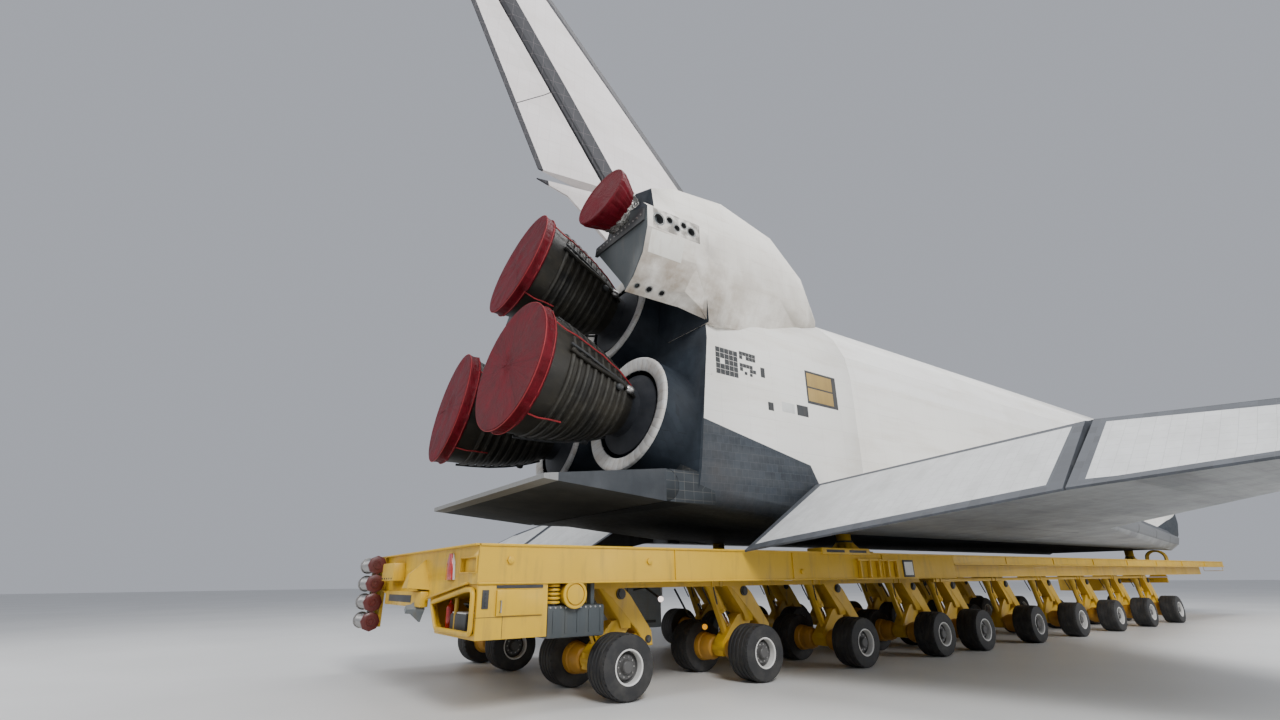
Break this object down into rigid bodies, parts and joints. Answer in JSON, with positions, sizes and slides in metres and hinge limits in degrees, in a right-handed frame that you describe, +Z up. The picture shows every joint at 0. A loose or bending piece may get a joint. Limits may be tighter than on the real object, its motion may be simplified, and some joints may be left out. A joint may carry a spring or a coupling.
{
  "type": "winged space shuttle orbiter on a wheeled transporter",
  "caption": "Winged space shuttle orbiter, gear up, with tiled body, delta wings, tall fin and covered engine bells, held on a long yellow self-propelled transporter with bogies.",
  "frame": {"origin": "on the floor under the middle of the whole object's box", "axes": "+X towards the nose, +Y to port, +Z up"},
  "size_m": [37.1856, 23.7744, 16.5608],
  "materials": {
    "white_tile": "matt white thermal blanket and tile, weathered",
    "black_tile": "dark blue-grey tile, weathered",
    "wing_tile": "weathered tile, pale above and grey below",
    "carbon": "grey carbon edge",
    "window": "dark glass",
    "cabin_lining": "satin grey",
    "bell_metal": "heat-stained ribbed metal",
    "cover_red": "dark red coated fabric",
    "yellow_paint": "yellow enamel",
    "tyre_rubber": "matt black rubber",
    "grey_paint": "grey enamel",
    "reel_red": "dark red enamel",
    "steel": "bare steel",
    "chrome_rod": "polished",
    "foil": "crumpled foil",
    "lamp": "clear red"
  },
  "bodies": {
    "airframe": {"nose_cap": "carbon", "forward_fuselage": "white_tile", "flight_deck": "cabin_lining", "window_glass": "window", "mid_fuselage": "white_tile", "aft_fuselage": "white_tile", "wing_port": "wing_tile", "wing_starboard": "wing_tile", "vertical_fin": "white_tile", "oms_pod_port": "white_tile", "oms_pod_starboard": "white_tile", "oms_engine_port": "bell_metal", "oms_engine_starboard": "bell_metal", "oms_cover_port": "cover_red", "oms_cover_starboard": "cover_red", "transporter_frame_rear": "yellow_paint", "transporter_frame_front": "yellow_paint", "driver_cab_rear": "yellow_paint", "driver_cab_front": "yellow_paint", "aft_support_port": "yellow_paint", "aft_support_starboard": "yellow_paint", "forward_support": "yellow_paint", "power_unit": "grey_paint", "fuel_tank": "grey_paint", "hose_reels": "reel_red"},
    "hatch": {"crew_hatch": "white_tile"},
    "door_port": {"bay_door_port": "white_tile"},
    "door_starboard": {"bay_door_starboard": "white_tile"},
    "flap": {"body_flap": "black_tile"},
    "elevon_in_port": {"elevon_inboard_port": "wing_tile"},
    "elevon_in_starboard": {"elevon_inboard_starboard": "wing_tile"},
    "elevon_out_port": {"elevon_outboard_port": "wing_tile"},
    "elevon_out_starboard": {"elevon_outboard_starboard": "wing_tile"},
    "rudder_port": {"rudder_panel_port": "white_tile"},
    "rudder_starboard": {"rudder_panel_starboard": "white_tile"},
    "engine_upper": {"main_engine_upper": "bell_metal", "engine_cover_upper": "cover_red"},
    "engine_port": {"main_engine_port": "bell_metal", "engine_cover_port": "cover_red"},
    "engine_starboard": {"main_engine_starboard": "bell_metal", "engine_cover_starboard": "cover_red"},
    "wheels_port_1": {"wheelset_port_1": "tyre_rubber"},
    "wheels_port_2": {"wheelset_port_2": "tyre_rubber"},
    "wheels_port_3": {"wheelset_port_3": "tyre_rubber"},
    "wheels_port_4": {"wheelset_port_4": "tyre_rubber"},
    "wheels_port_5": {"wheelset_port_5": "tyre_rubber"},
    "wheels_port_6": {"wheelset_port_6": "tyre_rubber"},
    "wheels_port_7": {"wheelset_port_7": "tyre_rubber"},
    "wheels_port_8": {"wheelset_port_8": "tyre_rubber"},
    "wheels_port_9": {"wheelset_port_9": "tyre_rubber"},
    "wheels_starboard_1": {"wheelset_starboard_1": "tyre_rubber"},
    "wheels_starboard_2": {"wheelset_starboard_2": "tyre_rubber"},
    "wheels_starboard_3": {"wheelset_starboard_3": "tyre_rubber"},
    "wheels_starboard_4": {"wheelset_starboard_4": "tyre_rubber"},
    "wheels_starboard_5": {"wheelset_starboard_5": "tyre_rubber"},
    "wheels_starboard_6": {"wheelset_starboard_6": "tyre_rubber"},
    "wheels_starboard_7": {"wheelset_starboard_7": "tyre_rubber"},
    "wheels_starboard_8": {"wheelset_starboard_8": "tyre_rubber"},
    "wheels_starboard_9": {"wheelset_starboard_9": "tyre_rubber"},
    "wheels_starboard_10": {"wheelset_starboard_10": "tyre_rubber"}
  },
  "joints": [
    {"name": "door_port_open", "type": "hinge", "parent": "airframe", "child": "door_port", "pos_m": [0, 2.67462, 6.1214], "axis": [-1, 0, 0], "range_deg": [0, 175.5]},
    {"name": "door_starboard_open", "type": "hinge", "parent": "airframe", "child": "door_starboard", "pos_m": [0, -2.67462, 6.1214], "axis": [1, 0, 0], "range_deg": [0, 175.5]},
    {"name": "hatch_open", "type": "hinge", "parent": "airframe", "child": "hatch", "pos_m": [12.4975, 2.5213, 4.0081], "axis": [-0.9912, 0.1322, 0], "range_deg": [0, 90]},
    {"name": "flap_tilt", "type": "hinge", "parent": "airframe", "child": "flap", "pos_m": [-14.2748, 0, 3.175], "axis": [0, 1, 0], "range_deg": [-22.5, 11.7]},
    {"name": "elevon_in_port_tilt", "type": "hinge", "parent": "airframe", "child": "elevon_in_port", "pos_m": [-10.5918, 3.0607, 3.00736], "axis": [0, 0.9982, 0.0599], "range_deg": [0, 52.5]},
    {"name": "elevon_in_starboard_tilt", "type": "hinge", "parent": "airframe", "child": "elevon_in_starboard", "pos_m": [-10.5918, -3.0607, 3.00736], "axis": [0, 0.9982, -0.0599], "range_deg": [0, 52.5]},
    {"name": "elevon_out_port_tilt", "type": "hinge", "parent": "airframe", "child": "elevon_out_port", "pos_m": [-10.5918, 7.9629, 3.29946], "axis": [0, 1, -0.0098], "range_deg": [0, 52.5]},
    {"name": "elevon_out_starboard_tilt", "type": "hinge", "parent": "airframe", "child": "elevon_out_starboard", "pos_m": [-10.5918, -7.9629, 3.29946], "axis": [0, 1, 0.0098], "range_deg": [0, 52.5]},
    {"name": "rudder_port_open", "type": "hinge", "parent": "airframe", "child": "rudder_port", "pos_m": [-14.01572, 0, 11.21156], "axis": [0.5814, 0, -0.8136], "range_deg": [0, 49.3]},
    {"name": "rudder_starboard_open", "type": "hinge", "parent": "airframe", "child": "rudder_starboard", "pos_m": [-14.01572, 0, 11.21156], "axis": [-0.5814, 0, 0.8136], "range_deg": [0, 49.3]},
    {"name": "engine_upper_pitch", "type": "hinge", "parent": "airframe", "child": "engine_upper", "pos_m": [-12.065, 0, 7.0104], "axis": [0, 1, 0], "range_deg": [-10.5, 10.5]},
    {"name": "engine_port_pitch", "type": "hinge", "parent": "airframe", "child": "engine_port", "pos_m": [-12.65428, 1.3462, 4.46024], "axis": [0, 1, 0], "range_deg": [-10.5, 10.5]},
    {"name": "engine_starboard_pitch", "type": "hinge", "parent": "airframe", "child": "engine_starboard", "pos_m": [-12.65428, -1.3462, 4.46024], "axis": [0, 1, 0], "range_deg": [-10.5, 10.5]},
    {"name": "wheels_port_1_spin", "type": "hinge", "parent": "airframe", "child": "wheels_port_1", "pos_m": [-15.27, 2, 0.45], "axis": [0, 1, 0], "continuous": true},
    {"name": "wheels_port_2_spin", "type": "hinge", "parent": "airframe", "child": "wheels_port_2", "pos_m": [-12.5, 2, 0.45], "axis": [0, 1, 0], "continuous": true},
    {"name": "wheels_port_3_spin", "type": "hinge", "parent": "airframe", "child": "wheels_port_3", "pos_m": [-9.75, 2, 0.45], "axis": [0, 1, 0], "continuous": true},
    {"name": "wheels_port_4_spin", "type": "hinge", "parent": "airframe", "child": "wheels_port_4", "pos_m": [-6.95, 2, 0.45], "axis": [0, 1, 0], "continuous": true},
    {"name": "wheels_port_5_spin", "type": "hinge", "parent": "airframe", "child": "wheels_port_5", "pos_m": [-5.19, 2, 0.45], "axis": [0, 1, 0], "continuous": true},
    {"name": "wheels_port_6_spin", "type": "hinge", "parent": "airframe", "child": "wheels_port_6", "pos_m": [-2.45, 2, 0.45], "axis": [0, 1, 0], "continuous": true},
    {"name": "wheels_port_7_spin", "type": "hinge", "parent": "airframe", "child": "wheels_port_7", "pos_m": [0.2, 2, 0.45], "axis": [0, 1, 0], "continuous": true},
    {"name": "wheels_port_8_spin", "type": "hinge", "parent": "airframe", "child": "wheels_port_8", "pos_m": [2.95, 2, 0.45], "axis": [0, 1, 0], "continuous": true},
    {"name": "wheels_port_9_spin", "type": "hinge", "parent": "airframe", "child": "wheels_port_9", "pos_m": [5.7, 2, 0.45], "axis": [0, 1, 0], "continuous": true},
    {"name": "wheels_starboard_1_spin", "type": "hinge", "parent": "airframe", "child": "wheels_starboard_1", "pos_m": [-15.27, -2, 0.45], "axis": [0, 1, 0], "continuous": true},
    {"name": "wheels_starboard_2_spin", "type": "hinge", "parent": "airframe", "child": "wheels_starboard_2", "pos_m": [-12.5, -2, 0.45], "axis": [0, 1, 0], "continuous": true},
    {"name": "wheels_starboard_3_spin", "type": "hinge", "parent": "airframe", "child": "wheels_starboard_3", "pos_m": [-9.75, -2, 0.45], "axis": [0, 1, 0], "continuous": true},
    {"name": "wheels_starboard_4_spin", "type": "hinge", "parent": "airframe", "child": "wheels_starboard_4", "pos_m": [-6.95, -2, 0.45], "axis": [0, 1, 0], "continuous": true},
    {"name": "wheels_starboard_5_spin", "type": "hinge", "parent": "airframe", "child": "wheels_starboard_5", "pos_m": [-5.19, -2, 0.45], "axis": [0, 1, 0], "continuous": true},
    {"name": "wheels_starboard_6_spin", "type": "hinge", "parent": "airframe", "child": "wheels_starboard_6", "pos_m": [-2.45, -2, 0.45], "axis": [0, 1, 0], "continuous": true},
    {"name": "wheels_starboard_7_spin", "type": "hinge", "parent": "airframe", "child": "wheels_starboard_7", "pos_m": [0.2, -2, 0.45], "axis": [0, 1, 0], "continuous": true},
    {"name": "wheels_starboard_8_spin", "type": "hinge", "parent": "airframe", "child": "wheels_starboard_8", "pos_m": [2.95, -2, 0.45], "axis": [0, 1, 0], "continuous": true},
    {"name": "wheels_starboard_9_spin", "type": "hinge", "parent": "airframe", "child": "wheels_starboard_9", "pos_m": [5.7, -2, 0.45], "axis": [0, 1, 0], "continuous": true},
    {"name": "wheels_starboard_10_spin", "type": "hinge", "parent": "airframe", "child": "wheels_starboard_10", "pos_m": [8.45, -2, 0.45], "axis": [0, 1, 0], "continuous": true}
  ]
}
